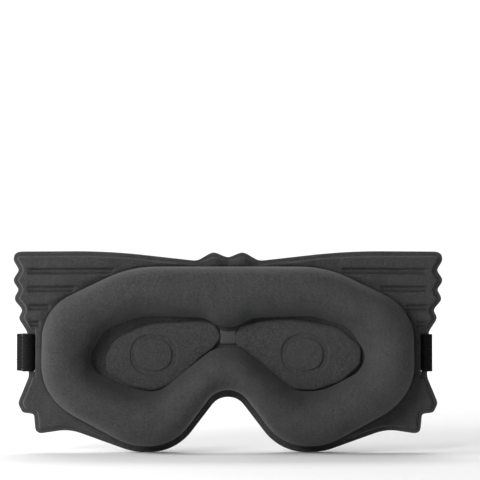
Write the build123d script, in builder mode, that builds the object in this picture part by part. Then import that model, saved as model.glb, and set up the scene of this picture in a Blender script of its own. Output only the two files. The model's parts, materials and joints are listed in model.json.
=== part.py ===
from build123d import *
from math import cos, radians, sin, tan
import os

# Contoured sleep eye mask: a butterfly-shaped panel with a foam face cushion, two eye pads in its
# hollows, and an elastic strap in two halves, each sewn round the bar of a slot and closed by hook
# and loop tape. Millimetres. X across the face, Z up, +Y towards the face. The origin is the middle
# of the plane that touches the face, at eye height, and depth is measured from it along -Y.

# Overall size. The outlines are drawn at the drawn size and stretch with the mask.
mask_width = 230.0
mask_height = 108.0
drawn_width = 230.0
drawn_height = 108.0
round_share = 0.98  # of a run between two corners that their roundings may take up

# Layers
skin = 1.0  # knit cover with its bonded backing
liner = 0.4  # light-blocking film
cushion_height = 21.0  # crest above the pressed rim
dome_height = 8.0  # front dome above the pressed rim
crest_round_out = 7.5
crest_round_in = 10.5
dome_round = 6.5
wing_rise = 2.0  # ribs above the pressed rim
groove_width = 1.6
groove_depth = 1.4

# Eye pads
pad_thick = 3.0
pad_round = 0.8
eye_spacing = 80.0
eye_drop = 0.8
emboss_depth = 0.5
emboss_width = 1.7
emboss_wide = 11.0  # half sizes of the embossed ring
emboss_high = 10.0
bridge_thick = 1.6
bridge_width = 7.4
bridge_height = 8.0
bridge_corner = 1.0
bridge_z = 8.2

# Strap
strap_width = 20.0
strap_thick = 1.2
bar_width = 2.1
bar_inset = 7.2  # outer face of the slot's bar, from the widest part of the mask
slot_width = 2.4
slot_corner = 0.5
slot_play = 1.0  # slot longer than the strap is wide
bar_play = 0.25  # between the bar's corner and the loop round it
double_end = 9.0  # where the sewn double layer ends, from the bar
seam_at = 6.1
band_clear = 2.8  # between the dome and the strap folded over it
lie_gap = 0.3  # between the closed hook and loop tapes
stub_angle_left = 60.0  # forward turn of the sewn end at rest
stub_angle_right = 90.0
band_end_left = 3.0
tab_hinge = 40.0
tab_end = 84.0
hook_setback = 2.0
tape_height = 18.0
tape_corner = 2.0
pile_thick = 1.2
pile_start = 6.0
pile_end = 66.0
hook_thick = 1.0
hook_end = 78.0
fold_gap = 0.8  # of a webbing end from the fold it bends at
fold_gap_inside = 1.5
stitch_length = 2.2
stitch_pitch = 3.2
stitch_thick = 0.6
stitch_rise = 0.3
tack_size = 1.6
seam_inset = 1.6

# Worked out
stretch_x = mask_width / drawn_width
stretch_z = mask_height / drawn_height
slimmer = min(1.0, stretch_x, stretch_z)  # a smaller outline has smaller crest roundings
round_out = crest_round_out * slimmer
round_in = crest_round_in * slimmer
mid_depth = cushion_height + skin  # where the two covers meet
floor_depth = mid_depth - liner - skin  # floor of the eye hollows
dome_depth = mid_depth + skin + dome_height
slot_length = strap_width + slot_play
bar_x = (drawn_width / 2 - bar_inset) * stretch_x - bar_width / 2
slot_x = bar_x - bar_width / 2 - slot_width / 2
loop_inner = ((bar_width / 2) ** 2 + skin**2) ** 0.5 + bar_play
loop_outer = loop_inner + strap_thick
half_thick = strap_thick / 2
left_depth = dome_depth + band_clear + half_thick
pile_depth = left_depth + half_thick
hook_depth = pile_depth + pile_thick + lie_gap
right_depth = hook_depth + hook_thick + half_thick

# Half outlines: corners as (x, z, rounding radius), from the top middle to the bottom middle.
waist = slot_length / 2 / stretch_z
panel_corners = [
    (0, 50.9, 3),
    (8, 54.4, 4),
    (16.5, 49.3, 5),
    (64, 54.6, 120),
    (114.9, 54.3, 3.5),
    (115.3, 49.5, 3),
    (112.2, 44.3, 1.5),
    (115.8, 38.8, 3),
    (112.3, 33.9, 1.5),
    (115.2, 28.8, 3),
    (110.2, 22.9, 2),
    (112.6, 18.6, 3),
    (107.8, waist, 4),
    (106.8, -waist - 1.5, 5),
    (112.6, -27, 3),
    (110.2, -32, 1.5),
    (104, -32.8, 1),
    (103, -43.6, 3),
    (85, -40.9, 25),
    (50.5, -53.2, 35),
    (28, -53.1, 28),
    (5.3, -23.7, 10),
]
cushion_corners = [
    (52, 45.6, 60),
    (98.2, 23.6, 26),
    (98.9, -13, 30),
    (90.5, -28.2, 35),
    (52.5, -48.6, 30),
    (29.6, -49.8, 26),
    (6.4, -19, 12),
]
hollow_corners = [
    (5, 13.5, 14),
    (12, 18.8, 8),
    (46, 19.8, 22),
    (66, 12.8, 14),
    (74.8, -2.5, 9),
    (69, -11, 9),
    (52, -19.8, 12),
    (37, -21.2, 10),
    (7.5, 3, 14),
]
pad_corners = [
    (4.4, 9, 3),
    (8.2, 15.3, 3),
    (15, 18, 12),
    (42, 18.3, 25),
    (74, -2.3, 7),
    (51.5, -18.6, 11),
    (37.3, -19.8, 9),
    (9, 3.9, 3),
]
upper_wing_corners = [
    (57, 50.6, 1),
    (111, 51.3, 2),
    (110.6, 30, 8),
    (107.4, 17.5, 4),
    (105.6, waist + 2.2, 1),
    (102.6, waist + 2.2, 1),
    (99.6, 27, 14),
]
lower_wing_corners = [
    (105.4, -waist - 2.6, 0.8),
    (109, -25.4, 2),
    (107.2, -29.4, 1),
    (101.3, -30.4, 1),
    (100.2, -40.2, 2),
    (85.6, -38.9, 0.8),
    (103, -28, 6),
    (103.8, -waist - 2.6, 0.8),
]
dimples = [(27, 8.6, 1.4), (22.4, 6.6, 1.1)]  # x, z, radius
groove_starts = [(44.1, 60.5), (34.5, 81.2), (24.3, 94.7), (15.8, 100)]  # z, inner end x


def at_depth(depth):
    return Plane.XZ.offset(depth)


def stretched(corners, side=1):
    return [(side * x * stretch_x, z * stretch_z, r) for x, z, r in corners]


def fitted_radii(corners):
    """The rounding radii, cut back where two roundings would run into each other."""
    points = [Vector(x, z) for x, z, r in corners]
    following = points[1:] + points[:1]
    reaches = []
    for i, (x, z, radius) in enumerate(corners):
        angle = (points[i - 1] - points[i]).get_angle(following[i] - points[i])
        reaches.append(radius / tan(radians(angle / 2)))
    shares = [1.0] * len(points)
    for i, reach in enumerate(reaches):
        room = round_share * (points[i - 1] - points[i]).length / (reaches[i - 1] + reach)
        shares[i - 1] = min(shares[i - 1], room)
        shares[i] = min(shares[i], room)
    return [radius * share for (x, z, radius), share in zip(corners, shares)]


def closed_face(corners, grow=0.0):
    with BuildSketch() as sketch:
        with BuildLine():
            points = [(x, z) for x, z, r in corners]
            FilletPolyline(*points, radius=fitted_radii(corners), close=True)
        make_face()
        if grow:
            offset(amount=grow, kind=Kind.ARC, mode=Mode.REPLACE)
    return sketch.sketch


def whole_face(corners, grow=0.0):
    """The outline of both halves, mirrored about the middle."""
    right = stretched(corners)
    left = [(-x, z, r) for x, z, r in reversed(right) if x > 0]
    return closed_face(right + left, grow)


def slab(face, near, far):
    """A face of the mask's outline, from one depth to another."""
    with BuildPart() as part:
        with BuildSketch(at_depth(near)):
            add(face)
        extrude(amount=far - near)
    return part.part


def crown(face, near, far, rounding):
    """A slab with its edge rounded at the near side, or at the far side if near is the deeper one."""
    with BuildPart() as part:
        with BuildSketch(at_depth(far)):
            add(face)
        extrude(amount=near - far)
        fillet(part.edges().filter_by_position(Axis.Y, -near - 0.01, -near + 0.01), rounding)
    return part.part


def cushion_form(inset, base):
    """The cushion ring's shape, with everything set in from the outside by inset."""
    outer = whole_face(cushion_corners, -inset)
    with BuildPart() as part:
        add(crown(outer, inset, base, round_out - inset))
        with BuildSketch(at_depth(inset)):
            add(whole_face(hollow_corners, inset))
        extrude(amount=base - inset, mode=Mode.SUBTRACT)
        crest = part.faces().sort_by(Axis.Y)[-1]
        fillet(crest.inner_wires()[0].edges(), round_in - inset)
    return part.part


def slots():
    with BuildPart() as part:
        with BuildSketch(at_depth(0)):
            with Locations((slot_x, 0), (-slot_x, 0)):
                RectangleRounded(slot_width, slot_length, slot_corner)
        extrude(amount=dome_depth)
    return part.part


def grooves(side, extra):
    """The pressed channels between the ribs of one wing, in the plane of the face."""
    with BuildSketch() as sketch:
        for z, inner in groove_starts:
            start = inner * stretch_x
            end = mask_width / 2
            with Locations((side * (start + end) / 2, z * stretch_z)):
                Rectangle(end - start, groove_width + extra)
    return sketch.sketch


def wing_form(corners, side, grow, rise, extra):
    """One raised part of a wing with its grooves."""
    top = mid_depth - rise
    with BuildPart() as part:
        add(slab(closed_face(stretched(corners, side), grow), top, mid_depth))
        with BuildSketch(at_depth(top)):
            add(grooves(side, extra))
        extrude(amount=groove_depth, mode=Mode.SUBTRACT)
    return part.part


def wing_foam(corners, side):
    return wing_form(corners, side, 0, wing_rise, skin)


def save(part, name):
    part.label = name
    export_step(part, f"parts/{name}.step")


os.makedirs("parts", exist_ok=True)
panel = whole_face(panel_corners)
cushion_inside = whole_face(cushion_corners, -skin)
sides = {"left": 1, "right": -1}
wings = {"upper": upper_wing_corners, "lower": lower_wing_corners}
foams = {
    f"{level}_wing_foam_{name}": wing_foam(corners, side)
    for level, corners in wings.items()
    for name, side in sides.items()
}
for name, foam in foams.items():
    save(foam, name)

# Front: knit cover over a moulded foam dome
with BuildPart() as front_foam:
    add(crown(cushion_inside, dome_depth - skin, mid_depth, dome_round - skin))
save(front_foam.part, "front_foam")

with BuildPart() as outer_cover:
    add(slab(panel, mid_depth, mid_depth + skin))
    add(crown(whole_face(cushion_corners), dome_depth, mid_depth, dome_round))
    add(front_foam.part, mode=Mode.SUBTRACT)
    add(slots(), mode=Mode.SUBTRACT)
save(outer_cover.part, "outer_cover")

with BuildPart() as blackout_liner:
    add(slab(cushion_inside, mid_depth - liner, mid_depth))
save(blackout_liner.part, "blackout_liner")

# Face side: foam ring and the knit cover moulded over it and the wings
with BuildPart() as cushion_ring:
    add(cushion_form(skin, mid_depth - liner))
save(cushion_ring.part, "cushion_ring")

with BuildPart() as face_cover:
    add(slab(panel, mid_depth - skin, mid_depth))
    add(slab(whole_face(hollow_corners, 2 * skin), floor_depth, mid_depth))
    add(cushion_form(0, mid_depth))
    for corners in wings.values():
        for side in sides.values():
            add(wing_form(corners, side, skin, wing_rise + skin, 0))
    for foam in foams.values():
        add(foam, mode=Mode.SUBTRACT)
    add(cushion_ring.part, mode=Mode.SUBTRACT)
    add(blackout_liner.part, mode=Mode.SUBTRACT)
    add(slots(), mode=Mode.SUBTRACT)
save(face_cover.part, "face_cover")

# Eye pads and the strip between them
for name, side in sides.items():
    with BuildPart() as eye_pad:
        pad_depth = floor_depth - pad_thick
        add(crown(closed_face(stretched(pad_corners, side)), pad_depth, floor_depth, pad_round))
        with BuildSketch(at_depth(pad_depth)):
            with Locations((side * eye_spacing / 2, -eye_drop)):
                Ellipse(emboss_wide, emboss_high)
                Ellipse(emboss_wide - emboss_width, emboss_high - emboss_width, mode=Mode.SUBTRACT)
            for x, z, radius in dimples:
                with Locations((side * x, z)):
                    Circle(radius)
        extrude(amount=emboss_depth, mode=Mode.SUBTRACT)
    save(eye_pad.part, f"eye_pad_{name}")

with BuildPart() as bridge_strip:
    with BuildSketch(at_depth(floor_depth - bridge_thick)):
        with Locations((0, bridge_z)):
            RectangleRounded(bridge_width, bridge_height, bridge_corner)
    extrude(amount=bridge_thick)
save(bridge_strip.part, "bridge_strip")


def heading(side, angle):
    """The way a sewn end points, turned forward from straight out to the side by angle."""
    return Vector(side * cos(radians(angle)), -sin(radians(angle)), 0)


def strap_loop(side, angle, length):
    """The sewn end: a loop round the bar, a double layer, then one layer up to the fold."""
    low = (side * bar_x, -mid_depth, -strap_width / 2)
    outside = side * half_thick
    with BuildPart() as part:
        with BuildSketch(Plane(origin=low, x_dir=heading(side, angle), z_dir=(0, 0, 1))):
            Circle(loop_outer)
            with Locations((double_end / 2, 0)):
                Rectangle(double_end, 2 * strap_thick)
            with BuildLine():
                Polyline(
                    (double_end, outside),
                    (length - fold_gap, outside),
                    (length - fold_gap, 0),
                    (length - fold_gap_inside, -outside),
                    (double_end, -outside),
                    close=True,
                )
            make_face()
            Circle(loop_inner, mode=Mode.SUBTRACT)
        extrude(amount=strap_width)
    return part.part


def webbing(start, end, depth):
    """A flat run of strap across the front, rounded about the hinge line at its start."""
    with BuildPart() as part:
        with BuildSketch(Plane.XY.offset(-strap_width / 2)):
            with Locations(((start + end) / 2, -depth)):
                Rectangle(abs(end - start), strap_thick)
            with Locations((start, -depth)):
                Circle(half_thick)
        extrude(amount=strap_width)
    return part.part


def tape(start, end, near, thick):
    """A strip of hook or loop tape sewn along the strap."""
    with BuildPart() as part:
        with BuildSketch(at_depth(near)):
            with Locations(((start + end) / 2, 0)):
                RectangleRounded(end - start, tape_height, tape_corner)
        extrude(amount=thick)
    return part.part


def stitches(plane, rows):
    """Separate stitches standing on a face. A row is its middle, its turn and its length."""
    with BuildPart() as part:
        with BuildSketch(plane):
            for x, y, turn, length in rows:
                with Locations(Location((x, y, 0), (0, 0, turn))):
                    with GridLocations(stitch_pitch, stitch_pitch, int(length / stitch_pitch), 1):
                        Rectangle(stitch_length, stitch_thick)
        extrude(amount=stitch_rise)
    return part.part


def box_seam(start, end):
    """Four rows of stitches just inside the edge of a tape."""
    row = tape_height / 2 - seam_inset
    middle, length = (start + end) / 2, end - start - 2 * seam_inset
    long_rows = [(middle, z, 0, length) for z in (row, -row)]
    return long_rows + [(middle + s * length / 2, 0, 90, 2 * row - stitch_pitch) for s in (1, -1)]


def loop_seam(side, angle):
    """The seam that closes a loop: a row of stitches with a tack at each end, on both faces."""
    way = heading(side, angle)
    seam = Vector(side * bar_x, -mid_depth, 0) + way * seam_at
    with BuildPart() as part:
        for face in (1, -1):
            out = way.rotate(Axis.Z, 90 * face)
            plane = Plane(origin=seam + out * strap_thick, x_dir=(0, 0, 1), z_dir=out)
            add(stitches(plane, [(0, 0, 0, strap_width - 2 * tack_size)]))
            with BuildSketch(plane):
                with GridLocations(strap_width - tack_size, 1, 2, 1):
                    Rectangle(tack_size, tack_size)
            extrude(amount=stitch_rise)
    return part.part


# Strap: on each side a sewn end and a run folded over the front, the right run outside the left
layers = {"left": (stub_angle_left, left_depth), "right": (stub_angle_right, right_depth)}
folds = {}
for name, side in sides.items():
    angle, depth = layers[name]
    length = (depth - mid_depth) / sin(radians(angle))
    folds[name] = side * (bar_x + length * cos(radians(angle)))
    save(strap_loop(side, angle, length), f"strap_loop_{name}")
    save(loop_seam(side, angle), f"loop_seam_{name}")
save(webbing(folds["left"], band_end_left, left_depth), "strap_band_left")
save(webbing(folds["right"], tab_hinge - fold_gap, right_depth), "strap_band_right")

# Closure
save(tape(pile_start, pile_end, pile_depth, pile_thick), "pile_patch")
save(webbing(tab_hinge, tab_end, right_depth), "hook_tab")
hook_start = tab_hinge + hook_setback
save(tape(hook_start, hook_end, hook_depth, hook_thick), "hook_tape")
inner_face = at_depth(left_depth - half_thick - stitch_rise)
save(stitches(inner_face, box_seam(pile_start, pile_end)), "pile_seam")
outer_face = at_depth(right_depth + half_thick)
save(stitches(outer_face, box_seam(hook_start, hook_end)), "hook_seam")
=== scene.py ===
import bpy
import bmesh
import json
import math
import numpy as np
from mathutils import Matrix, Vector, noise


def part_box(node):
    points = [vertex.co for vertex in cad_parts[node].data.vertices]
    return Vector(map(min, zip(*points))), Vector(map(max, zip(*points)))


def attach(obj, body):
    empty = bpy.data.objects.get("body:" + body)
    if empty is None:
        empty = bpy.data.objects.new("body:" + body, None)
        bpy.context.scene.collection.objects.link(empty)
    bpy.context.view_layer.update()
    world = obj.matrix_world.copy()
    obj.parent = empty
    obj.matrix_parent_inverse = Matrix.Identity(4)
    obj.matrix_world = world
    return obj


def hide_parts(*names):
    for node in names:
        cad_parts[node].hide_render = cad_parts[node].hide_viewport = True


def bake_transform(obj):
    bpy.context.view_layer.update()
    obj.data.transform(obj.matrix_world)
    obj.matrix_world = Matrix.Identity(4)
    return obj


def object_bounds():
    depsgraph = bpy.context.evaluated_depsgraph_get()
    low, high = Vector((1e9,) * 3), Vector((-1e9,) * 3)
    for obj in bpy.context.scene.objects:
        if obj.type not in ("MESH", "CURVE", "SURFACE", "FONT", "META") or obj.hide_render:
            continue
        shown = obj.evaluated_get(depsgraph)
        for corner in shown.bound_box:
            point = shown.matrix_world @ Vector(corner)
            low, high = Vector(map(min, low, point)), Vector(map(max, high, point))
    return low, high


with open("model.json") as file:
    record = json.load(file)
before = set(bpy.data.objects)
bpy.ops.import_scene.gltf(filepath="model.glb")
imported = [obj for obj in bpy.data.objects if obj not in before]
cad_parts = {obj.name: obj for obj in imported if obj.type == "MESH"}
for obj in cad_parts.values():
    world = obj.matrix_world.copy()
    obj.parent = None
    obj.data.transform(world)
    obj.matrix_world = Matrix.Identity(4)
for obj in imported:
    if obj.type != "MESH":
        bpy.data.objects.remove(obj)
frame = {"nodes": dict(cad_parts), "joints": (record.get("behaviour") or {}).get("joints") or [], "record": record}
cadBounds = [list(corner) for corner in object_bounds()]
mm = 0.001
jointAt = {j["name"]: Vector(j["pos_m"]) / mm for j in frame["joints"]}
print("frame loaded")


def boxOf(node):    # a node's lowest and highest corners in mm
    low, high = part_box(node)
    return Vector(low) / mm, Vector(high) / mm


# depths in mm in front of the plane that touches the face
midDepth = -boxOf("outer_cover")[1].y
domeDepth = -boxOf("outer_cover")[0].y
floorDepth = -boxOf("eye_pad_left")[0].y

# corners of a half outline, from the top middle to the bottom middle: x, z, rounding radius
outlines = {
    "panel": [(0, 50.9, 3), (8, 54.4, 4), (16.5, 49.3, 5), (64, 54.6, 330), (114.9, 54.3, 3.5),
              (115.3, 49.5, 3), (112.2, 44.3, 1.5), (115.8, 38.8, 3), (112.3, 33.9, 1.5), (115.2, 28.8, 3),
              (110.2, 22.9, 2), (112.6, 18.6, 3), (107.8, 11.3, 4), (106.8, -12.8, 5), (112.6, -27, 3),
              (110.2, -32, 1.5), (104, -32.8, 1), (103, -43.6, 3), (85, -40.9, 25), (50.5, -53.2, 35),
              (28, -53.1, 28), (5.3, -23.7, 10)],
    "cushion": [(52, 45.6, 60), (98.2, 23.6, 26), (98.9, -13, 30), (90.5, -28.2, 35), (52.5, -48.6, 30),
                (29.6, -49.8, 26), (6.4, -19, 12)],
    "hollow": [(5, 13.5, 14), (12, 18.8, 8), (46, 19.8, 22), (66, 12.8, 14), (74.8, -2.5, 9), (69, -11, 9),
               (52, -19.8, 12), (37, -21.2, 10), (7.5, 3, 14)],
}
# places that match from one outline to the next: top middle, corner, far side, lower corner, lobe, nose
matching = {
    "panel": [(0, 51), (114.2, 53.8), (107.4, 0), (102.4, -42.8), (40, -53), (0, -23.7)],
    "cushion": [(0, 45.6), (88, 27.6), (98.2, 0), (88, -29), (40, -49.3), (0, -19)],
    "hollow": [(0, 13.5), (64, 12), (73.5, -3), (66, -12), (43, -20.5), (0, 3)],
}
stretches = [130, 120, 90, 85, 75]    # points from one matching place to the next
coreLine = [(0, 8.2), (12, 8.4), (25, 4.5), (40, -0.5), (58, -2.2)]    # where the loops close up


def roundedPath(corners, closed=False, step=0.25):    # straight runs joined by tangent arcs
    points = []
    count = len(corners)
    for i, (x, z, radius) in enumerate(corners):
        here = Vector((x, z))
        if not closed and i in (0, count - 1):
            points.append(here)
            continue
        back = (Vector(corners[i - 1][:2]) - here).normalized()
        ahead = (Vector(corners[(i + 1) % count][:2]) - here).normalized()
        half = back.angle(ahead) / 2
        middle = here + (back + ahead).normalized() * radius / math.sin(half)
        arm = here + back * radius / math.tan(half) - middle
        sweep = math.pi - 2 * half
        turn = sweep if back.cross(ahead) < 0 else -sweep
        steps = max(2, int(radius * sweep / step))
        points += [middle + Matrix.Rotation(turn * k / steps, 2) @ arm for k in range(steps + 1)]
    return points


def resampled(points, count):    # evenly spaced points from the first to the last
    path = np.array([tuple(p) for p in points])
    along = np.concatenate([[0], np.cumsum(np.linalg.norm(np.diff(path, axis=0), axis=1))])
    wanted = np.linspace(0, along[-1], count)
    return np.stack([np.interp(wanted, along, path[:, k]) for k in range(path.shape[1])], axis=1)


def eased(loop, passes):    # corners softened, the loop closed on itself
    for _ in range(passes):
        loop = (np.roll(loop, 1, axis=0) + 2 * loop + np.roll(loop, -1, axis=0)) / 4
    return loop


def mirroredLoop(half):
    return np.concatenate([half, half[-2:0:-1] * (-1, 1)])


def outlineLoop(name, passes):
    corners = outlines[name]
    mirrored = [(-x, z, r) for x, z, r in reversed(corners) if x > 0]
    points = roundedPath(corners + mirrored, closed=True)
    dense = resampled(points + points[:1], 6001)
    marks = [int(np.argmin(np.linalg.norm(dense[:-1] - place, axis=1))) for place in matching[name]]
    half = []
    for start, end, count in zip(marks, marks[1:], stretches):
        run = np.arange(start, end + 1 if end >= start else end + 6001) % 6000
        half.append(resampled(dense[run], count + 1)[:-1])
    half = np.concatenate(half + [dense[marks[-1]][None]])
    half[0, 0] = half[-1, 0] = 0
    return eased(mirroredLoop(half), passes)


def inward(loop, passes):    # unit directions into the outline, smoothed along it
    smooth = eased(loop, passes)
    along = np.roll(smooth, -1, axis=0) - np.roll(smooth, 1, axis=0)
    return np.stack([along[:, 1], -along[:, 0]], axis=1) / np.linalg.norm(along, axis=1)[:, None]


def ramp(x):    # 0 to 1 with soft ends
    x = np.clip(x, 0, 1)
    return x * x * (3 - 2 * x)


panel = outlineLoop("panel", 3)
cushion = outlineLoop("cushion", 30)
hollow = outlineLoop("hollow", 40)
halfCore = resampled(coreLine, 251)
core = mirroredLoop(np.concatenate([halfCore, halfCore[-2::-1]]))
gap = np.linalg.norm(cushion - panel, axis=1)[:, None]
panelIn = inward(panel, 60)
cushionIn = inward(cushion, 10)
ringAcross = hollow - cushion
ringWidth = np.linalg.norm(ringAcross, axis=1)[:, None]
ringAcross = ringAcross / ringWidth
print("outlines:", len(panel), "points each")


def atDepth(points, depth):    # outline points set at a depth
    depth = np.broadcast_to(np.reshape(depth, (-1,)), (len(points),))
    return np.stack([points[:, 0], -depth, points[:, 1]], axis=1)


def lofted(rows, merge=0.004):    # one closed band per row of points, its ends shut on themselves
    bm = bmesh.new()
    count = len(rows[0])
    bmesh.ops.create_grid(bm, x_segments=count, y_segments=len(rows) - 1, size=0.5)
    for vert in bm.verts:
        i = round((vert.co.x + 0.5) * count) % count
        j = round((vert.co.y + 0.5) * (len(rows) - 1))
        vert.co = rows[j][i]
    bmesh.ops.remove_doubles(bm, verts=bm.verts, dist=merge)
    bmesh.ops.dissolve_degenerate(bm, edges=bm.edges, dist=merge / 4)
    bmesh.ops.recalc_face_normals(bm, faces=bm.faces)
    return bm


def finishPiece(bm, name, body, material, replaces=()):    # mm to metres, a smooth object on its body
    bmesh.ops.scale(bm, vec=(mm, mm, mm), verts=bm.verts)
    mesh = bpy.data.meshes.new(name)
    bm.to_mesh(mesh)
    bm.free()
    mesh.shade_smooth()
    piece = bpy.data.objects.new(name, mesh)
    bpy.context.scene.collection.objects.link(piece)
    mesh.materials.append(material)
    if body:
        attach(piece, body)
    if replaces:
        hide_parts(*replaces)
    return piece


def fabricMaterial(name, look):
    material = bpy.data.materials.new(name)
    material.use_nodes = True
    nodes, links = material.node_tree.nodes, material.node_tree.links
    shader = nodes["Principled BSDF"]
    shader.inputs["Metallic"].default_value = 0
    shader.inputs["Sheen Weight"].default_value = look.get("sheen", 0.3)
    shader.inputs["Sheen Roughness"].default_value = look.get("sheenRoughness", 0.5)
    shader.inputs["Sheen Tint"].default_value = (*look.get("sheenTint", (0.8, 0.8, 0.82)), 1)
    shader.inputs["Specular IOR Level"].default_value = look.get("specular", 0.25)
    place = nodes.new("ShaderNodeTexCoord").outputs["Object"]
    if look.get("ownMap"):
        own = nodes.new("ShaderNodeAttribute")
        own.attribute_name = look["ownMap"]
        place = own.outputs["Vector"]

    def grain(size, detail, stretch=(1, 1, 1), roughness=0.6):    # noise of a size in mm
        mapping = nodes.new("ShaderNodeMapping")
        mapping.inputs["Scale"].default_value = stretch
        links.new(place, mapping.inputs["Vector"])
        node = nodes.new("ShaderNodeTexNoise")
        node.inputs["Scale"].default_value = 1 / (size * mm)
        node.inputs["Detail"].default_value = detail
        node.inputs["Roughness"].default_value = roughness
        links.new(mapping.outputs["Vector"], node.inputs["Vector"])
        return node.outputs["Fac"]

    def bands(pitch, direction, waver):    # rows of a pitch in mm
        node = nodes.new("ShaderNodeTexWave")
        node.wave_type = "BANDS"
        node.bands_direction = direction
        node.inputs["Scale"].default_value = 2 * math.pi / (20 * pitch * mm)
        node.inputs["Distortion"].default_value = waver
        node.inputs["Detail"].default_value = 2
        node.inputs["Detail Scale"].default_value = 1.5
        links.new(place, node.inputs["Vector"])
        return node.outputs["Fac"]

    def combined(a, b, operation, amount=None):
        node = nodes.new("ShaderNodeMath")
        node.operation = operation
        links.new(a, node.inputs[0])
        if b is None:
            node.inputs[1].default_value = amount
        else:
            links.new(b, node.inputs[1])
        return node.outputs["Value"]

    def weighted(value, amount):
        return combined(value, None, "MULTIPLY", amount)

    coarse = weighted(grain(look["grain"], 3), 0.6)
    fine = combined(coarse, weighted(grain(look["fineGrain"], 3), 0.4), "ADD")
    height = fine
    tone = fine
    for pitch, direction, waver, share in look.get("rows", []):
        row = bands(pitch, direction, waver)
        height = combined(height, weighted(row, share), "ADD")
        tone = combined(tone, weighted(row, share * look.get("rowTone", 0.3)), "ADD")
    broad = grain(look.get("patch", 14), 3)
    tone = combined(tone, weighted(broad, look.get("patchTone", 0.35)), "ADD")
    colours = nodes.new("ShaderNodeValToRGB")
    low, high = look.get("toneRange", (0.35, 1.0))
    colours.color_ramp.elements[0].position = low
    colours.color_ramp.elements[0].color = (*look["dark"], 1)
    colours.color_ramp.elements[1].position = high
    colours.color_ramp.elements[1].color = (*look["light"], 1)
    links.new(tone, colours.inputs["Fac"])
    links.new(colours.outputs["Color"], shader.inputs["Base Color"])
    rough = nodes.new("ShaderNodeMapRange")
    rough.inputs["To Min"].default_value = look.get("roughness", 0.8) - 0.08
    rough.inputs["To Max"].default_value = look.get("roughness", 0.8) + 0.08
    links.new(broad, rough.inputs["Value"])
    links.new(rough.outputs["Result"], shader.inputs["Roughness"])
    bump = nodes.new("ShaderNodeBump")
    bump.inputs["Distance"].default_value = look.get("bump", 0.15) * mm
    bump.inputs["Strength"].default_value = 1
    links.new(height, bump.inputs["Height"])
    links.new(bump.outputs["Normal"], shader.inputs["Normal"])
    return material


looks = {
    "faceKnit": {
        "dark": (0.009, 0.009, 0.0095), "light": (0.066, 0.066, 0.068), "grain": 1.0,
        "fineGrain": 0.45, "bump": 0.5, "rows": [(0.62, "X", 0.7, 0.25)], "sheen": 0.1,
        "roughness": 0.74, "specular": 0.32, "patch": 9, "patchTone": 0.3, "toneRange": (0.42, 0.98)},
    "frontKnit": {
        "dark": (0.006, 0.006, 0.0065), "light": (0.02, 0.02, 0.0215), "grain": 0.7, "fineGrain": 0.35,
        "bump": 0.2, "rows": [(0.85, "X", 0.35, 0.9)], "sheen": 0.06, "roughness": 0.72,
        "specular": 0.3, "patch": 16, "patchTone": 0.25},
    "padFleece": {
        "dark": (0.016, 0.016, 0.0165), "light": (0.1, 0.1, 0.103), "grain": 0.85, "fineGrain": 0.5,
        "bump": 0.5, "sheen": 0.15, "roughness": 0.86, "specular": 0.2, "patch": 4, "patchTone": 0.15,
        "toneRange": (0.35, 1.0)},
    "bridgeKnit": {
        "dark": (0.03, 0.03, 0.031), "light": (0.08, 0.08, 0.082), "grain": 0.7, "fineGrain": 0.35,
        "bump": 0.15, "rows": [(0.6, "Z", 0.5, 0.5)], "sheen": 0.12, "roughness": 0.8},
    "webbing": {
        "dark": (0.0015, 0.0015, 0.0017), "light": (0.006, 0.006, 0.0065), "grain": 0.6,
        "fineGrain": 0.3, "bump": 0.2, "rows": [(0.5, "X", 0.5, 0.6), (1.55, "Y", 0.2, 0.7)],
        "ownMap": "weave", "sheen": 0.0, "roughness": 0.8, "specular": 0.12, "patch": 6,
        "patchTone": 0.2},
    "thread": {
        "dark": (0.012, 0.012, 0.013), "light": (0.045, 0.045, 0.048), "grain": 0.4, "fineGrain": 0.2,
        "bump": 0.05, "sheen": 0.05, "roughness": 0.5, "specular": 0.45, "patch": 2},
    "pile": {
        "dark": (0.006, 0.006, 0.0065), "light": (0.03, 0.03, 0.032), "grain": 0.5, "fineGrain": 0.25,
        "bump": 0.3, "sheen": 0.2, "roughness": 0.9, "patch": 3},
    "hooks": {
        "dark": (0.006, 0.006, 0.0065), "light": (0.022, 0.022, 0.023), "grain": 0.8, "fineGrain": 0.4,
        "bump": 0.04, "sheen": 0.0, "roughness": 0.4, "specular": 0.5, "patch": 4},
    "mouldedFoam": {
        "dark": (0.02, 0.02, 0.021), "light": (0.07, 0.07, 0.072), "grain": 0.9, "fineGrain": 0.4,
        "bump": 0.2, "sheen": 0.05, "roughness": 0.9},
    "memoryFoam": {
        "dark": (0.12, 0.12, 0.125), "light": (0.3, 0.3, 0.31), "grain": 0.8, "fineGrain": 0.4,
        "bump": 0.2, "sheen": 0.05, "roughness": 0.9},
    "blackoutFilm": {
        "dark": (0.004, 0.004, 0.004), "light": (0.012, 0.012, 0.0125), "grain": 2.0, "fineGrain": 1.0,
        "bump": 0.03, "sheen": 0.0, "roughness": 0.45, "specular": 0.5},
}
materials = {name: fabricMaterial(name, look) for name, look in looks.items()}
print("materials:", len(materials))

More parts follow.
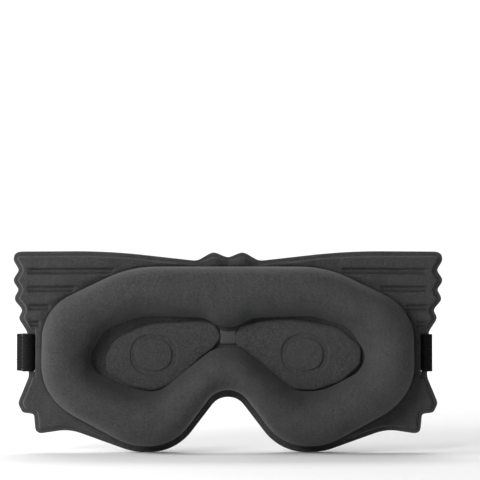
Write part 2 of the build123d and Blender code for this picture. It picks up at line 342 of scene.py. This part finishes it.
faceCoverSizes = {
    "skin": 1.0, "wingRise": 2.0,
    "rim": 3.4,             # pressed flange and its shoulder, from the edge in
    "moat": 2.2,            # soft dip between a wing and the ring
    "crestShare": 0.4,      # where the ring is highest, from its outside in
    "bulge": 0.4,           # how far the ring's foot overhangs
    "wallTop": 12.5,        # depth where the ring's outer wall starts to round over
    "squareness": 2 / 2.25,    # below 1 is squarer than a quarter round
    "wingRows": 26, "wallRows": 13, "bowlRows": 26,
}
ribs = {
    "grooves": [(43.6, 60.5), (34.0, 81.2), (24.2, 94.7), (15.4, 100)],    # z, inner end
    "outerEnd": 105.8, "creaseAt": 1.1, "creaseWide": 0.5, "creaseDeep": 1.75,
    "beadDeep": 0.8, "beadWide": 0.95, "crown": 0.8, "crownFade": 8, "topLevel": 53.6,
}


def ringPoint(inset, u, depth):    # on the ring's section: u mm in from its foot line
    return atDepth(cushion + ringAcross * (u + inset), depth + inset)


def ringRows(inset, wallRows, bowlRows, foot):
    size = faceCoverSizes
    crest = ringWidth * size["crestShare"]
    power = size["squareness"]
    rows = [ringPoint(inset, u, d) for u, d in foot]
    for k in range(1, wallRows + 1):
        a = math.pi / 2 * k / wallRows
        u = crest - (crest + size["bulge"]) * max(0, math.cos(a)) ** power
        rows.append(atDepth(cushion + ringAcross * (u + inset * math.cos(a)),
                            size["wallTop"] * (1 - math.sin(a) ** power) + inset * math.sin(a)))
    for k in range(1, bowlRows + 1):
        a = math.pi / 2 * k / bowlRows
        u = crest + (ringWidth - crest) * math.sin(a) ** power
        depth = floorDepth * (1 - max(0, math.cos(a)) ** power)
        rows.append(atDepth(cushion + ringAcross * (u - inset * math.sin(a)),
                            np.minimum(depth + inset * math.cos(a), floorDepth + inset)))
    return rows


slotSizes = {
    "wide": 2.4, "deep": 12, "long": 20.15, "corner": 0.9,
    "flatHalf": 13.9, "flatFrom": 102.4,    # the flange is flat this far up and down, and out from here
    "fadeUp": 1.4, "fadeIn": 1.1,
}


def slotZone(points):    # 1 where the flange stays flat for the strap slot
    near = ramp((slotSizes["flatHalf"] - np.abs(points[:, 1])) / slotSizes["fadeUp"])
    return near * ramp((np.abs(points[:, 0]) - slotSizes["flatFrom"]) / slotSizes["fadeIn"])


def faceCoverRows():
    size = faceCoverSizes
    flange = midDepth - size["skin"]
    roomy = ramp((gap - 3.6) / 5)
    rim = np.minimum(size["rim"], 0.42 * gap)
    moat = np.minimum(size["moat"], 0.3 * gap)
    inner = panel + panelIn * rim
    foot = cushion - cushionIn * moat
    back = midDepth - 0.02
    hidden = ringRows(size["skin"], 5, 7, [(0, back - size["skin"])])
    under = floorDepth + size["skin"]
    rows = [atDepth(core, under), atDepth((core + hollow) / 2, under)]
    rows += hidden[::-1]
    rows += [atDepth(panel + panelIn * np.minimum(0.6, rim / 3), back)]
    for share, drop in [(0, -0.28), (0.02, -0.62), (0.09, -0.88), (0.2, -1), (0.4, -1.02), (0.58, -1)]:
        rows.append(atDepth(panel + panelIn * rim * share, midDepth + drop * size["skin"]))

    def raised(points, amount):
        amount = np.reshape(amount, (-1, 1)) * roomy[:, 0:1] * (1 - slotZone(points))[:, None]
        return atDepth(points, flange - size["wingRise"] * amount)

    for share, rise in [(0.66, 0.05), (0.74, 0.28), (0.82, 0.66), (0.9, 0.92), (1, 1)]:
        rows.append(raised(panel + panelIn * rim * share, rise))
    firstWing = len(rows) - 1
    for k in range(1, size["wingRows"] + 1):
        rows.append(raised(inner + (foot - inner) * k / size["wingRows"], 1))
    lastWing = len(rows) - 1
    for share, rise in [(0.3, 0.93), (0.6, 0.72), (0.82, 0.45), (0.97, 0.22)]:
        rows.append(raised(foot + (cushion - foot) * share, rise))
    rows += ringRows(0, size["wallRows"], size["bowlRows"],
                     [(0.4, 20.9), (0.28, 20.3), (0.05, 19.2), (-0.2, 17.6), (-0.42, 15.8), (-0.5, 14)])
    rows += [atDepth(hollow + (core - hollow) * s, floorDepth) for s in (0.03, 0.3, 0.65, 1)]
    return rows, firstWing, lastWing


def ribShape(x, z):    # how far the wing's surface sinks (+) or rises (-) at a place
    x = abs(x)
    sink = 0
    zs = [g[0] for g in ribs["grooves"]]
    inner = np.interp(z, zs[::-1], [g[1] for g in ribs["grooves"]][::-1])
    for zGroove, start in ribs["grooves"]:
        d = abs(z - zGroove)
        if d < 3:
            here = ramp((x - start - 0.3) / 1.6) * (1 - ramp((x - ribs["outerEnd"] + 1) / 3.2))
            crease = ribs["creaseDeep"] * math.exp(-((d - ribs["creaseAt"]) / ribs["creaseWide"]) ** 2)
            bead = ribs["beadDeep"] * math.exp(-(d / ribs["beadWide"]) ** 4)
            sink += here * max(crease, bead)
    levels = [ribs["topLevel"]] + zs
    for top, bottom in zip(levels, levels[1:]):
        if bottom < z < top:
            crown = math.sin(math.pi * (z - bottom) / (top - bottom)) ** 0.8
            sink -= ribs["crown"] * crown * ramp((x - inner + 2) / ribs["crownFade"])
    return sink


def cutSlots(piece):    # the strap's two slots, cut through a cover
    bm = bmesh.new()
    for node in ("strap_slot_left", "strap_slot_right"):
        mount = next(m for m in frame["record"]["mounts"] if m["name"] == node)
        middle = Vector(mount["pos_m"]) / mm
        cube = bmesh.ops.create_cube(bm, size=1)["verts"]
        bmesh.ops.scale(bm, vec=(slotSizes["wide"], slotSizes["deep"], slotSizes["long"]), verts=cube)
        bmesh.ops.translate(bm, vec=middle, verts=cube)
    upright = [e for e in bm.edges if abs(e.verts[0].co.y - e.verts[1].co.y) > 1]
    bmesh.ops.bevel(bm, geom=upright, offset=slotSizes["corner"], offset_type="OFFSET", segments=4,
                    affect="EDGES", profile=0.5, material=-1)
    bmesh.ops.scale(bm, vec=(mm, mm, mm), verts=bm.verts)
    mesh = bpy.data.meshes.new("slotCutter")
    bm.to_mesh(mesh)
    bm.free()
    cutter = bpy.data.objects.new("slotCutter", mesh)
    bpy.context.scene.collection.objects.link(cutter)
    cut = piece.modifiers.new("slots", "BOOLEAN")
    cut.operation = "DIFFERENCE"
    cut.solver = "EXACT"
    cut.object = cutter
    bpy.context.view_layer.objects.active = piece
    with bpy.context.temp_override(object=piece, active_object=piece, selected_objects=[piece]):
        bpy.ops.object.modifier_apply(modifier=cut.name)
    bpy.data.objects.remove(cutter)
    piece.data.shade_smooth()


def makeFaceCover():
    rows, firstWing, lastWing = faceCoverRows()
    bm = bmesh.new()
    count = len(rows[0])
    wing = bm.verts.layers.float.new("wing")
    bmesh.ops.create_grid(bm, x_segments=count, y_segments=len(rows) - 1, size=0.5)
    for vert in bm.verts:
        i = round((vert.co.x + 0.5) * count) % count
        j = round((vert.co.y + 0.5) * (len(rows) - 1))
        vert.co = rows[j][i]
        vert[wing] = 1.0 if firstWing <= j <= lastWing else 0.0
    bmesh.ops.remove_doubles(bm, verts=bm.verts, dist=0.004)
    for zGroove, start in ribs["grooves"]:
        for off in (-2.2, -1.7, -1.35, -1.1, -0.85, -0.5, 0, 0.5, 0.85, 1.1, 1.35, 1.7, 2.2):
            near = [v for v in bm.verts
                    if v[wing] > 0 and abs(v.co.z - zGroove) < 5 and abs(v.co.x) > start - 2]
            edges = {e for v in near for e in v.link_edges}
            faces = {f for v in near for f in v.link_faces}
            bmesh.ops.bisect_plane(bm, geom=list(near) + list(edges) + list(faces), dist=0.02,
                                   plane_co=(0, 0, zGroove + off), plane_no=(0, 0, 1))
    for vert in bm.verts:
        if vert[wing] > 0.02 and vert.co.z > 11:
            vert.co.y -= vert[wing] * ribShape(vert.co.x, vert.co.z)
    for vert in bm.verts:    # moulded foam is never quite even
        soft = noise.noise(vert.co / 17) * 0.22 + noise.noise(vert.co / 6 + Vector((9, 2, 5))) * 0.07
        vert.co.y += soft * float(ramp((21.2 + vert.co.y) / 3)) * float(vert.co.y > -20.4)
    bmesh.ops.recalc_face_normals(bm, faces=bm.faces)
    piece = finishPiece(bm, "faceCover", "mask", materials["faceKnit"],
                        ["face_cover", "upper_wing_foam_left", "upper_wing_foam_right",
                         "lower_wing_foam_left", "lower_wing_foam_right"])
    cutSlots(piece)
    print("face cover:", len(piece.data.polygons), "faces")


makeFaceCover()


def makeCushionFoam():
    foot = [(0.4, midDepth - 2.2), (-0.2, 16)]
    rows = ringRows(faceCoverSizes["skin"] + 0.1, 7, 10, foot)
    base = midDepth - 0.45
    rows = [atDepth(hollow - ringAcross * 1.1, base), atDepth(cushion + ringAcross * 1.5, base)] + rows
    rows = [row[::4] for row in rows]
    rows.append(rows[0])
    piece = finishPiece(lofted(rows), "cushionFoam", "mask", materials["memoryFoam"],
                        ["cushion_ring"])


makeCushionFoam()
print("cushion foam")

frontSizes = {"edge": 1.2, "shoulder": 17.0, "domeRows": 16, "crown": 0.6, "flange": 1.0, "rise": 8.0}


def domeRise(u):    # height of the front above the flange, u mm in from the cushion line
    return frontSizes["rise"] * (1 - (1 - min(max(u, 0) / frontSizes["shoulder"], 1)) ** 2.3) ** 0.75


def frontRows(inset):
    flange = midDepth + frontSizes["flange"]
    back = midDepth + 0.02
    rows = []
    across = cushionIn * 0.5 + ringAcross * 0.5
    across = across / np.linalg.norm(across, axis=1)[:, None]
    edge = np.minimum(frontSizes["edge"], gap * 0.3)
    if not inset:
        rows += [atDepth(core, midDepth + 0.6), atDepth(hollow, midDepth + 0.6), atDepth(cushion, back)]
        rows += [atDepth(panel + panelIn * edge * 0.7, back)]
        for share, depth in [(0, 0.3), (0.03, 0.62), (0.16, 0.86), (0.45, 0.98), (1, 1.03)]:
            rows.append(atDepth(panel + panelIn * edge * share, midDepth + depth))
        inner = panel + panelIn * edge
        foot = cushion
        for k in range(1, 10):
            pillow = 0.35 * math.sin(math.pi * min(k / 9, 0.85)) * ramp((gap[:, 0] - 4) / 8)
            rows.append(atDepth(inner + (foot - inner) * k / 9, flange + pillow))
    else:
        rows += [atDepth(core, back), atDepth(cushion + across * inset, back)]
    for k in range(0 if inset else 1, frontSizes["domeRows"] + 1):
        u = frontSizes["shoulder"] * (k / frontSizes["domeRows"]) ** 1.25
        rows.append(atDepth(cushion + across * np.minimum(u + inset, ringWidth * 0.72),
                            flange + domeRise(u) - inset))
    last = rows[-1]
    for share in (0.3, 0.65, 1):
        flat = np.stack([last[:, 0], last[:, 2]], axis=1)
        crown = frontSizes["crown"] * share ** 0.6
        rows.append(atDepth(flat + (core - flat) * share, domeDepth - inset + crown))
    return rows


def makeFront():
    bm = lofted(frontRows(0))
    for vert in bm.verts:
        soft = noise.noise(vert.co / 21) * 0.25
        vert.co.y += soft * float(ramp((-23.4 - vert.co.y) / 3))
    piece = finishPiece(bm, "frontCover", "mask", materials["frontKnit"], ["outer_cover"])
    cutSlots(piece)
    foam = finishPiece(lofted([row[::4] for row in frontRows(1.3)]), "frontFoam", "mask",
                       materials["mouldedFoam"], ["front_foam"])


makeFront()
print("front cover and foam")

eyePads = {
    "left": [(3.4, 8.5, 3), (6.8, 15.4, 4), (13, 17.1, 8), (43, 15.6, 30), (60.4, 7.8, 14), (65.4, -1, 5),
             (64.6, -10.6, 3), (53, -17.8, 12), (39, -20.4, 12), (26, -14.5, 20), (14.5, -2.2, 12),
             (8, 2.2, 5)],
    "right": [(3.6, 10, 2.5), (7.6, 14.6, 3.5), (18, 17.2, 12), (36, 18.1, 24), (59.5, 13.2, 18),
              (71.6, 3.2, 6), (71, -6.5, 6), (61, -15.2, 10), (46, -20.2, 12), (34, -19.3, 8),
              (23, -10.6, 16), (10, 1, 6), (4.2, 4.4, 3)],
    "middle": {"left": (39.6, -1.0), "right": (41.2, -0.8)},
    "emboss": {"wide": 12.8, "high": 11.2, "line": 3.3, "deep": 1.0},
    "dimples": [(26, 10.6, 1.2, 0.4), (20.6, 6.2, 1.6, 0.6)],
    "thick": 3.0, "crown": 0.55,
}


def makeEyePad(name, side):
    spec = eyePads
    cx, cz = spec["middle"][name]
    middle = np.array((cx, cz))
    points = roundedPath(spec[name], closed=True)
    outline = eased(resampled(points + points[:1], 241)[:-1], 4)
    start = int(np.argmax(np.where(np.abs(outline[:, 1] - cz) < 3, outline[:, 0], -999)))
    outline = np.roll(outline, -start, axis=0)
    angles = np.arctan2((outline[:, 1] - cz) / spec["emboss"]["high"],
                        (outline[:, 0] - cx) / spec["emboss"]["wide"])
    ring = np.stack([np.cos(angles), np.sin(angles)], axis=1)
    ring = np.sign(ring) * np.abs(ring) ** 0.88 * (spec["emboss"]["wide"], spec["emboss"]["high"])
    ringOut = middle + ring
    wide = spec["emboss"]["wide"]
    inShare = (wide - spec["emboss"]["line"]) / wide
    bottom = floorDepth - 0.02
    top = floorDepth - spec["thick"]
    outIn = (middle - outline) / np.linalg.norm(middle - outline, axis=1)[:, None]
    rows = [atDepth(middle + outline * 0, bottom), atDepth(middle + (outline - middle) * 0.5, bottom),
            atDepth(outline + outIn * 0.5, bottom)]
    for d, depth in [(0.1, 2.75), (0, 2.2), (0.02, 1.4), (0.16, 0.8), (0.5, 0.35), (1.0, 0.12)]:
        rows.append(atDepth(outline + outIn * d, top + depth))
    shoulder = outline + outIn * 1.0
    for k in range(1, 25):
        s = k / 24
        crown = spec["crown"] * math.sin(math.pi / 2 * s) ** 0.7
        rows.append(atDepth(shoulder + (ringOut - shoulder) * s, top + 0.12 * (1 - s) - crown))
    flat = top - spec["crown"]
    deep = spec["emboss"]["deep"]
    for s, sink in [(0.93, 0.6), (0.78, 1), (0.5, 0.1), (0.2, 1), (0.07, 0.6), (0, 0)]:
        share = inShare + (1 - inShare) * s
        rows.append(atDepth(middle + ring * share, flat + deep * sink))
    for share in (0.92, 0.75, 0.55, 0.3, 0.12):
        rows.append(atDepth(middle + ring * inShare * share, flat - 0.22 * (1 - share)))
    rows.append(atDepth(middle + ring * 0, flat - 0.22))
    bm = lofted([row * (side, 1, 1) for row in rows])
    for vert in bm.verts:
        onTop = float(ramp((vert.co.y + top + 0.6) / 0.5))
        for x, z, radius, sink in spec["dimples"]:
            d = math.hypot(abs(vert.co.x) - x, vert.co.z - z)
            vert.co.y -= onTop * sink * math.exp(-(d / radius) ** 2)
        vert.co.y += onTop * (noise.noise(vert.co / 7 + Vector((side * 40, 3, 8))) * 0.28
                              + noise.noise(vert.co / 1.3) * 0.07)
    piece = finishPiece(bm, "eyePad" + name.capitalize(), "mask", materials["padFleece"],
                        ["eye_pad_" + name])


for name, side in (("left", 1), ("right", -1)):
    makeEyePad(name, side)
print("eye pads")

bridgeSizes = {"wide": 8.6, "thick": 1.5, "waist": 0.18, "edge": 0.55, "endLift": 0.5, "sag": 0.3}


def makeBridge():    # the strip of knit that joins the two pads over the nose
    low, high = boxOf("bridge_strip")
    bm = bmesh.new()
    bmesh.ops.create_cube(bm, size=1)
    bmesh.ops.scale(bm, vec=(bridgeSizes["wide"], bridgeSizes["thick"], high.z - low.z), verts=bm.verts)
    bmesh.ops.bevel(bm, geom=list(bm.edges), offset=bridgeSizes["edge"], offset_type="OFFSET", segments=3,
                    affect="EDGES", profile=0.5, material=-1)
    long = [e for e in bm.edges if e.calc_length() > 2]
    bmesh.ops.subdivide_edges(bm, edges=long, cuts=11, use_grid_fill=True)
    for vert in bm.verts:
        share = vert.co.x / bridgeSizes["wide"] * 2
        vert.co.z *= 1 - bridgeSizes["waist"] * (1 - share * share)
        vert.co.z += bridgeSizes["endLift"] * share * share
        vert.co.y += bridgeSizes["sag"] * (1 - share * share)
    middle = (0, -floorDepth + bridgeSizes["thick"] / 2, (low.z + high.z) / 2)
    bmesh.ops.translate(bm, vec=middle, verts=bm.verts)
    bmesh.ops.recalc_face_normals(bm, faces=bm.faces)
    finishPiece(bm, "bridgeStrip", "mask", materials["bridgeKnit"], ["bridge_strip"])


makeBridge()
print("bridge strip")

strapSizes = {
    "width": 20.0, "thick": 1.2, "ribs": 12, "ribHeight": 0.07,
    "angle": {"left": 60, "right": 90}, "bandEnd": {"left": 3.0, "right": 39.4},
    "sewnEnd": 9.0, "loop": 2.32, "foldRound": 0.72,
}


def strapSection(width, thick, count):    # across the strap: z and b, all the way round
    half = thick / 2
    across = np.linspace(-width / 2 + 0.35, width / 2 - 0.35, 2 * count + 1)
    ridge = strapSizes["ribHeight"] * np.where(np.arange(2 * count + 1) % 2, 0, -1)
    face = [(z, half + r) for z, r in zip(across, ridge)]
    edge = [(width / 2 - 0.08, half * 0.72), (width / 2, half * 0.25), (width / 2, -half * 0.25),
            (width / 2 - 0.08, -half * 0.72)]
    return face + edge + [(z, -b) for z, b in reversed(face)] + [(-z, -b) for z, b in edge]


def sweptStrap(path, section, swell=None):    # a section carried along a path in the X, Y plane
    path = [Vector(p) for p in path]
    along = [0.0]
    for a, b in zip(path, path[1:]):
        along.append(along[-1] + (b - a).length)
    bm = bmesh.new()
    weave = bm.verts.layers.float_vector.new("weave")
    count = len(section)
    rows = len(path)
    bmesh.ops.create_grid(bm, x_segments=count, y_segments=rows - 1, size=0.5)
    for vert in bm.verts:
        i = round((vert.co.x + 0.5) * count) % count
        j = round((vert.co.y + 0.5) * (rows - 1))
        ahead = (path[min(j + 1, rows - 1)] - path[max(j - 1, 0)]).normalized()
        z, b = section[i]
        thicker = swell(path[j], along[j]) if swell else 1
        spot = path[j] + Vector((-ahead.y, ahead.x)) * b * thicker
        vert.co = (spot.x, spot.y, z)
        vert[weave] = Vector((along[j], z, b)) * mm
    bmesh.ops.remove_doubles(bm, verts=bm.verts, dist=0.002)
    ends = [e for e in bm.edges if e.is_boundary]
    bmesh.ops.holes_fill(bm, edges=ends, sides=0)
    bmesh.ops.recalc_face_normals(bm, faces=bm.faces)
    return bm


def divided(path, longest):    # long runs get points in between
    points = [path[0]]
    for a, b in zip(path, path[1:]):
        steps = max(1, math.ceil((b - a).length / longest))
        points += [a.lerp(b, k / steps) for k in range(1, steps + 1)]
    return points


def strapFrame(name, side):    # where a sewn end points, and its outer side
    angle = math.radians(strapSizes["angle"][name])
    way = Vector((side * math.cos(angle), -math.sin(angle)))
    return jointAt["strap_swing_" + name].xy, way, Vector((-way.y, way.x)) * side


def makeStrap(name, side):
    bar, way, out = strapFrame(name, side)
    fold = jointAt["strap_fold_" + name].xy
    half = strapSizes["thick"] / 2 + 0.01
    loop = strapSizes["loop"]

    def local(a, b):
        return bar + way * a + out * b

    reach = (fold.y - local(0, half).y) / way.y
    corner = local(reach, half)
    corners = [(strapSizes["sewnEnd"], -half, 0), (4.6, -half, 3), (1.35, -loop - 0.02, 1.9),
               (-loop, -loop, loop - 0.05), (-loop, loop, loop - 0.05), (1.35, loop + 0.02, 1.9),
               (4.6, half, 3)]
    path = [(*local(a, b), r) for a, b, r in corners]
    path += [(corner.x, corner.y, strapSizes["foldRound"]), (strapSizes["bandEnd"][name], fold.y, 0)]
    points = divided(roundedPath(path, step=0.16), 2.5)
    bm = sweptStrap(points, strapSection(strapSizes["width"], strapSizes["thick"], strapSizes["ribs"]))
    piece = finishPiece(bm, "strap" + name.capitalize(), None, materials["webbing"],
                        ["strap_loop_" + name, "strap_band_" + name])
    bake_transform(piece)


for name, side in (("left", 1), ("right", -1)):
    makeStrap(name, side)
print("strap")

closure = {
    "hinge": 40.0, "binding": 36.2, "tabEnd": 84.0, "bindingThick": 1.7, "corner": 2.0,
    "tuftPitch": 1.1, "tuftMargin": 1.2, "tuftRadius": 0.62,
    "hookPitch": (1.5, 1.25), "hookMargin": 1.5, "hookLong": 0.42,
}


def makeTab():
    depth = -jointAt["tab_peel"].y
    path = divided([Vector((closure["binding"], -depth)), Vector((closure["tabEnd"], -depth))], 0.7)
    section = strapSection(strapSizes["width"] + 0.3, strapSizes["thick"], strapSizes["ribs"])

    def swell(spot, s):    # a folded binding over the strap's end, and a rounded far end
        binding = 1 + (closure["bindingThick"] - 1) * float(1 - ramp((spot.x - closure["hinge"]) / 0.9))
        tip = math.sqrt(max(0.04, 1 - max(0, (spot.x - closure["tabEnd"] + 1.2) / 1.2) ** 2))
        return binding * tip * (1 if s > 0.1 else 0.7)

    bm = sweptStrap(path, section, swell)
    for vert in bm.verts:    # rounded corners at the tab's end
        past = max(0, vert.co.x - closure["tabEnd"] + 4)
        vert.co.z *= 1 - (1 - math.sqrt(max(0, 1 - (past / 4.4) ** 2))) * 0.22
    piece = finishPiece(bm, "tab", None, materials["webbing"], ["hook_tab"])
    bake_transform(piece)


def tapeBase(node):    # a tape's flat strip, from its box
    low, high = boxOf(node)
    bm = bmesh.new()
    bmesh.ops.create_cube(bm, size=1)
    bmesh.ops.scale(bm, vec=high - low, verts=bm.verts)
    corners = [e for e in bm.edges if abs(e.verts[0].co.y - e.verts[1].co.y) > 0.5]
    bmesh.ops.bevel(bm, geom=corners, offset=closure["corner"], offset_type="OFFSET", segments=5,
                    affect="EDGES", profile=0.5, material=-1)
    return bm, low, high


def makePile():
    bm, low, high = tapeBase("pile_patch")
    middle = (low + high) / 2
    bmesh.ops.scale(bm, vec=(1, 0.5, 1), verts=bm.verts)
    bmesh.ops.translate(bm, vec=middle + Vector((0, (high.y - low.y) / 4, 0)), verts=bm.verts)
    pitch, margin = closure["tuftPitch"], closure["tuftMargin"]
    across = int((high.x - low.x - 2 * margin) / pitch)
    up = int((high.z - low.z - 2 * margin) / pitch)
    for i in range(across + 1):
        for k in range(up + 1):
            spot = Vector((low.x + margin + i * pitch + pitch / 2 * (k % 2), low.y + (high.y - low.y) * 0.42,
                           low.z + margin + k * pitch))
            if spot.x > high.x - 1:
                continue
            wander = noise.noise_vector(spot * 3.1) * 0.35
            tuft = bmesh.ops.create_icosphere(bm, subdivisions=1, radius=closure["tuftRadius"])["verts"]
            bmesh.ops.scale(bm, vec=(1.05, 0.55 + wander.z * 0.4, 1.05), verts=tuft)
            bmesh.ops.rotate(bm, matrix=Matrix.Rotation(wander.x * 6, 3, "Y"), verts=tuft)
            bmesh.ops.translate(bm, vec=spot + Vector((wander.x, 0, wander.y)), verts=tuft)
    finishPiece(bm, "pilePatch", "band_left", materials["pile"], ["pile_patch"])


def makeHooks():
    bm, low, high = tapeBase("hook_tape")
    bmesh.ops.scale(bm, vec=(1, 0.42, 1), verts=bm.verts)
    bmesh.ops.translate(bm, vec=(low + high) / 2 - Vector((0, (high.y - low.y) * 0.29, 0)), verts=bm.verts)
    stepX, stepZ = closure["hookPitch"]
    margin, hookLong = closure["hookMargin"], closure["hookLong"]
    base = low.y + (high.y - low.y) * 0.4
    for i in range(int((high.x - low.x - 2 * margin) / stepX) + 1):
        for k in range(int((high.z - low.z - 2 * margin) / stepZ) + 1):
            spot = Vector((low.x + margin + i * stepX, base, low.z + margin + k * stepZ))
            lean = 1 if k % 2 else -1
            stem = bmesh.ops.create_cone(bm, segments=5, radius1=0.2, radius2=0.13, depth=hookLong,
                                         cap_ends=True)["verts"]
            bmesh.ops.rotate(bm, matrix=Matrix.Rotation(-math.pi / 2, 3, "X"), verts=stem)
            bmesh.ops.translate(bm, vec=spot + Vector((0, 0.18, 0)), verts=stem)
            tip = bmesh.ops.create_cone(bm, segments=5, radius1=0.14, radius2=0.07, depth=hookLong,
                                        cap_ends=True)["verts"]
            bmesh.ops.rotate(bm, matrix=Matrix.Rotation(math.pi / 2 * lean, 3, "Y"), verts=tip)
            bmesh.ops.translate(bm, vec=spot + Vector((0.12 * lean, 0.4, 0)), verts=tip)
    finishPiece(bm, "hookTape", "tab", materials["hooks"], ["hook_tape"])


makeTab()
makePile()
makeHooks()
print("closure")


seamSizes = {
    "loopAt": 6.1, "loopHalf": 8.2, "loopPitch": 2.35,    # along the strap from the bar, and across it
    "tackFrom": 8.7, "tackStep": 0.3, "edge": 10.02, "edgeStep": 0.45, "boxIn": 0.3, "boxSunk": 0.25,
}


def stitch(bm, spot, along, out, length=2.2, wide=0.34, high=0.26):    # one raised stitch, both ends sunk
    verts = bmesh.ops.create_uvsphere(bm, u_segments=8, v_segments=6, radius=1)["verts"]
    bmesh.ops.scale(bm, vec=(wide, high, length / 2), verts=verts)
    side = along.cross(out)
    turn = Matrix((side, out, along)).transposed()
    bmesh.ops.rotate(bm, matrix=turn, verts=verts)
    bmesh.ops.translate(bm, vec=spot, verts=verts)


def stitchRun(bm, start, end, out, pitch=2.6, length=2.0):
    along = end - start
    count = max(1, round(along.length / pitch))
    for k in range(count):
        spot = start.lerp(end, (k + 0.5) / count)
        stitch(bm, spot, along.normalized(), out, length)


def makeLoopSeam(name, side):
    sizes = seamSizes
    bar, way, out = strapFrame(name, side)
    out = Vector((*out, 0))
    seam = Vector((*(bar + way * sizes["loopAt"]), 0))
    bm = bmesh.new()
    for face in (1, -1):
        top = seam + out * face * (strapSizes["thick"] + 0.02)
        half = Vector((0, 0, sizes["loopHalf"]))
        stitchRun(bm, top - half, top + half, out * face, sizes["loopPitch"], 2.1)
        for end in (1, -1):    # a tack where the seam meets the strap's edge
            for k in range(5):
                up = Vector((0, 0, end * (sizes["tackFrom"] + k * sizes["tackStep"])))
                spot = top + up + Vector((*way, 0)) * 0.1 * (-1) ** k
                stitch(bm, spot, Vector((*way, 0)), out * face, 1.7, 0.2, 0.34)
    for end in (1, -1):    # thread wrapped over the strap's edge
        for k in range(4):
            along = Vector((*way, 0)) * (k - 1.5) * sizes["edgeStep"]
            spot = seam + Vector((0, 0, end * sizes["edge"])) + along
            stitch(bm, spot, out, Vector((0, 0, end)), 2.7, 0.24, 0.3)
    finishPiece(bm, "loopSeam" + name.capitalize(), "loop_" + name, materials["thread"],
                ["loop_seam_" + name])


def makeBoxSeam(node, name, body, face):
    low, high = boxOf(node)
    y = low.y if node == "hook_seam" else high.y
    out = Vector((0, face, 0))
    level = y - face * seamSizes["boxSunk"]
    margin = seamSizes["boxIn"]
    left, right, under, over = low.x + margin, high.x - margin, low.z + margin, high.z - margin
    corners = [Vector((x, level, z))
               for x, z in ((left, under), (right, under), (right, over), (left, over))]
    bm = bmesh.new()
    for a, b in zip(corners, corners[1:] + corners[:1]):
        stitchRun(bm, a, b, out)
    finishPiece(bm, name, body, materials["thread"], [node])


for name, side in (("left", 1), ("right", -1)):
    makeLoopSeam(name, side)
makeBoxSeam("pile_seam", "pileSeam", "band_left", 1)
makeBoxSeam("hook_seam", "hookSeam", "tab", -1)
print("seams")

liner = frame["nodes"]["blackout_liner"]    # the film keeps its CAD shape
liner.data.materials.clear()
liner.data.materials.append(materials["blackoutFilm"])

studio = {
    "floor": (0.92, 0.92, 0.92), "floorRoughness": 0.9, "floorShine": 0.1, "halfWide": 3.2,
    "world": 0.05,
}
stageProfile = [(1.6, 0), (-2.2, 0), (-2.6, 0.02), (-2.85, 0.12), (-3, 0.35), (-3.05, 0.7), (-3.05, 3)]
lights = {    # place, target, size in metres and power in watts
    "keyLight": ((0.62, 1.0, 0.45), (0, 0, 0), 0.55, 12.2),
    "rimLight": ((1.05, 0.12, 0.42), (0, 0, 0), 0.4, 8),
    "topLight": ((0.1, -0.35, 1.2), (0, -0.1, 0), 1.0, 4.5),
    "backLight": ((0, -1.7, 2.2), (0, -3, 0.3), 2.4, 66),
}


def makeStage():
    floorZ = cadBounds[0][2]
    bm = bmesh.new()
    verts = [bm.verts.new((-studio["halfWide"], y, floorZ + z)) for y, z in stageProfile]
    edges = [bm.edges.new(pair) for pair in zip(verts, verts[1:])]
    out = bmesh.ops.extrude_edge_only(bm, edges=edges)["geom"]
    far = [v for v in out if isinstance(v, bmesh.types.BMVert)]
    bmesh.ops.translate(bm, vec=(2 * studio["halfWide"], 0, 0), verts=far)
    bmesh.ops.recalc_face_normals(bm, faces=bm.faces)
    mesh = bpy.data.meshes.new("stage")
    bm.to_mesh(mesh)
    bm.free()
    mesh.shade_smooth()
    stage = bpy.data.objects.new("stage", mesh)
    bpy.context.scene.collection.objects.link(stage)
    material = bpy.data.materials.new("stagePaper")
    material.use_nodes = True
    shader = material.node_tree.nodes["Principled BSDF"]
    shader.inputs["Base Color"].default_value = (*studio["floor"], 1)
    shader.inputs["Roughness"].default_value = studio["floorRoughness"]
    shader.inputs["Specular IOR Level"].default_value = studio["floorShine"]
    mesh.materials.append(material)


def aimed(item, target):
    item.rotation_euler = (Vector(target) - item.location).to_track_quat("-Z", "Y").to_euler()


def softbox(name, place, target, size, power):
    light = bpy.data.lights.new(name, "AREA")
    light.shape = "SQUARE"
    light.size = size
    light.energy = power
    lamp = bpy.data.objects.new(name, light)
    lamp.location = place
    bpy.context.scene.collection.objects.link(lamp)
    aimed(lamp, target)


makeStage()
for name, (place, target, size, power) in lights.items():
    softbox(name, place, target, size, power)
world = bpy.data.worlds.new("studio")
bpy.context.scene.world = world
world.use_nodes = True
world.node_tree.nodes["Background"].inputs["Color"].default_value = (1, 1, 1, 1)
world.node_tree.nodes["Background"].inputs["Strength"].default_value = studio["world"]

view = {"place": (-0.00646, 1.0, 0.027), "target": (-0.00646, -0.022, 0.0605), "lens": 142.6, "sensor": 36}
camera = bpy.data.objects.new("camera", bpy.data.cameras.new("camera"))
bpy.context.scene.collection.objects.link(camera)
camera.location = view["place"]
camera.data.lens = view["lens"]
camera.data.sensor_width = view["sensor"]
aimed(camera, view["target"])
bpy.context.scene.camera = camera
bpy.context.scene.view_settings.view_transform = "Standard"
print("studio")
